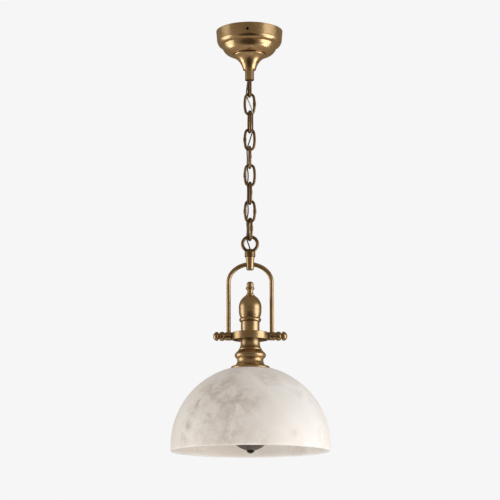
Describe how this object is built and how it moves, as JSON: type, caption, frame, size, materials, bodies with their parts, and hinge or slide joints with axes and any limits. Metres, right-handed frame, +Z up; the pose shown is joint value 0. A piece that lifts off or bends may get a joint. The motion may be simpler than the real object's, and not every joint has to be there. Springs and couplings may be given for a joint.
{
  "type": "pendant light",
  "caption": "Hanging light with an alabaster dome shade on a tilting brass bail, chain and ceiling canopy, with a cord woven through the chain.",
  "frame": {"origin": "centre of the ceiling strap's upper face, on the ceiling plane", "axes": "+Z up into the ceiling, the light hangs along -Z, -Y towards the viewer, X along the pivot"},
  "size_m": [0.3, 0.3, 0.824],
  "materials": {
    "aged_brass": "aged, brushed and lacquered",
    "plain_brass": "plain turned",
    "zinc_steel": "zinc plated",
    "green_screw": "green dyed",
    "brown_cord": "smooth brown sleeving",
    "alabaster": "honed, cloudy veins",
    "dark_rubber": "matt",
    "porcelain": "glazed",
    "white_plastic": "moulded",
    "black_insulator": "vitrified",
    "solder": "solder",
    "smoky_glass": "clear, faintly smoked",
    "clear_glass": "clear"
  },
  "bodies": {
    "root": {"canopy": "aged_brass", "mounting_strap": "zinc_steel", "side_screws": "zinc_steel", "ground_screw": "green_screw", "terminal_block": "white_plastic", "terminal_screws": "plain_brass", "hanger_nipple": "plain_brass", "nipple_washer": "zinc_steel", "nipple_nut": "plain_brass", "cord_grip": "white_plastic", "canopy_bell": "aged_brass", "hanger_collar": "aged_brass", "hanger_loop": "aged_brass", "supply_cord": "brown_cord"},
    "link_1": {"chain_link_1": "aged_brass"},
    "link_2": {"chain_link_2": "aged_brass"},
    "link_3": {"chain_link_3": "aged_brass"},
    "link_4": {"chain_link_4": "aged_brass"},
    "link_5": {"chain_link_5": "aged_brass"},
    "link_6": {"chain_link_6": "aged_brass"},
    "link_7": {"chain_link_7": "aged_brass"},
    "link_8": {"chain_link_8": "aged_brass"},
    "bail": {"suspension_ring": "aged_brass", "ring_nipple": "plain_brass", "bail_stem": "aged_brass", "bail_arm_left": "aged_brass", "bail_arm_right": "aged_brass", "bail_eye_left": "aged_brass", "bail_eye_right": "aged_brass", "bail_lead": "brown_cord"},
    "lamp": {"pivot_sleeves": "plain_brass", "pivot_washers": "dark_rubber", "collar_ring": "aged_brass", "neck_sleeve": "aged_brass", "check_ring": "aged_brass", "urn": "aged_brass", "finial": "aged_brass", "center_pipe": "plain_brass", "shade_holder": "aged_brass", "alabaster_shade": "alabaster", "upper_gasket": "dark_rubber", "lower_gasket": "dark_rubber", "shade_washer": "zinc_steel", "shade_nut": "plain_brass", "socket_cap": "plain_brass", "socket_body": "porcelain", "socket_shell": "plain_brass", "socket_contact": "plain_brass", "socket_lead": "brown_cord"},
    "knob_left": {"knob_left": "aged_brass"},
    "knob_right": {"knob_right": "aged_brass"},
    "bulb": {"bulb_base": "plain_brass", "bulb_insulator": "black_insulator", "bulb_contact": "solder", "bulb_glass": "smoky_glass", "bulb_mount": "clear_glass", "bulb_filaments": "zinc_steel"}
  },
  "joints": [
    {"name": "link_1_swing", "type": "hinge", "parent": "root", "child": "link_1", "pos_m": [0, 0, -0.13125], "axis": [-0.309, 0.9511, 0], "range_deg": [-15, 15], "deforming": ["supply_cord"]},
    {"name": "link_2_swing", "type": "hinge", "parent": "link_1", "child": "link_2", "pos_m": [0, 0, -0.1671], "axis": [1, 0, 0], "range_deg": [-15, 15], "deforming": ["supply_cord"]},
    {"name": "link_3_swing", "type": "hinge", "parent": "link_2", "child": "link_3", "pos_m": [0, 0, -0.2026], "axis": [-0.2079, 0.9781, 0], "range_deg": [-15, 15], "deforming": ["supply_cord"]},
    {"name": "link_4_swing", "type": "hinge", "parent": "link_3", "child": "link_4", "pos_m": [0, 0, -0.2381], "axis": [1, 0, 0], "range_deg": [-15, 15], "deforming": ["supply_cord"]},
    {"name": "link_5_swing", "type": "hinge", "parent": "link_4", "child": "link_5", "pos_m": [0, 0, -0.2736], "axis": [-0.0698, 0.9976, 0], "range_deg": [-15, 15], "deforming": ["supply_cord"]},
    {"name": "link_6_swing", "type": "hinge", "parent": "link_5", "child": "link_6", "pos_m": [0, 0, -0.3091], "axis": [1, 0, 0], "range_deg": [-15, 15], "deforming": ["supply_cord"]},
    {"name": "link_7_swing", "type": "hinge", "parent": "link_6", "child": "link_7", "pos_m": [0, 0, -0.3446], "axis": [-0.2079, 0.9781, 0], "range_deg": [-15, 15], "deforming": ["supply_cord"]},
    {"name": "link_8_swing", "type": "hinge", "parent": "link_7", "child": "link_8", "pos_m": [0, 0, -0.3801], "axis": [1, 0, 0], "range_deg": [-15, 15], "deforming": ["supply_cord"]},
    {"name": "bail_swing", "type": "hinge", "parent": "link_8", "child": "bail", "pos_m": [0, 0, -0.4156], "axis": [-0.309, 0.9511, 0], "range_deg": [-15, 15], "deforming": ["supply_cord"]},
    {"name": "lamp_tilt", "type": "hinge", "parent": "bail", "child": "lamp", "pos_m": [0, 0, -0.6022], "axis": [1, 0, 0], "range_deg": [-45, 45]},
    {"name": "knob_left_turn", "type": "hinge", "parent": "lamp", "child": "knob_left", "pos_m": [-0.058, 0, -0.6022], "axis": [-1, 0, 0], "range_deg": [0, 720]},
    {"name": "knob_right_turn", "type": "hinge", "parent": "lamp", "child": "knob_right", "pos_m": [0.058, 0, -0.6022], "axis": [1, 0, 0], "range_deg": [0, 720]},
    {"name": "bulb_turn", "type": "hinge", "parent": "lamp", "child": "bulb", "pos_m": [0, 0, -0.72], "axis": [0, 0, -1], "range_deg": [0, 1080]}
  ]
}
